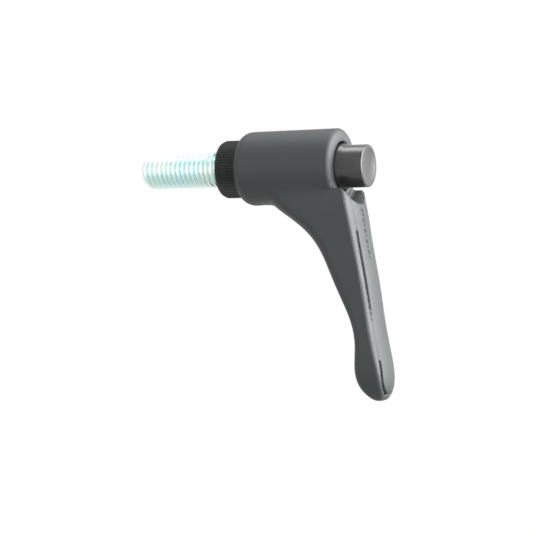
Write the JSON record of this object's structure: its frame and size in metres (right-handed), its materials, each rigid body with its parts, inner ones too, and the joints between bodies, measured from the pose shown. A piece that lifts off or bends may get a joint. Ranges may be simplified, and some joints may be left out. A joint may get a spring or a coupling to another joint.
{
  "type": "adjustable clamping lever",
  "caption": "Adjustable clamping lever with a threaded stud, a serrated collar and a hooked arm; pressing the end button frees the arm so it can be turned to a new position.",
  "frame": {"origin": "centre of the collar's clamping face, at the root of the stud", "axes": "+X along the stud's axis toward the button, so the stud points along -X; the arm hangs along -Z; +Y completes the right-handed frame"},
  "size_m": [0.0749, 0.021, 0.0742],
  "materials": {
    "threaded_stud": "zinc plated, blue passivated",
    "serrated_insert": "black oxide steel",
    "bearing_bush": "turned steel",
    "retaining_ring": "spring steel",
    "coupling_sleeve": "sintered steel",
    "return_spring": "spring wire",
    "push_button": "dark moulded plastic, semi gloss",
    "lever_body": "dark grey, finely textured"
  },
  "bodies": {
    "insert": {"threaded_stud": "threaded_stud", "serrated_insert": "serrated_insert", "retaining_ring": "retaining_ring"},
    "lever": {"lever_body": "lever_body", "bearing_bush": "bearing_bush"},
    "button": {"push_button": "push_button", "coupling_sleeve": "coupling_sleeve", "return_spring": "return_spring"}
  },
  "joints": [
    {"name": "lever_turn", "type": "hinge", "parent": "insert", "child": "lever", "pos_m": [0.02, 0, 0], "axis": [1, 0, 0], "continuous": true},
    {"name": "button_press", "type": "slide", "parent": "insert", "child": "button", "axis": [-1, 0, 0], "range_m": [0, 0.004], "stiffness_N_per_m": 600, "springref_m": -0.001, "deforming": ["return_spring"]}
  ]
}
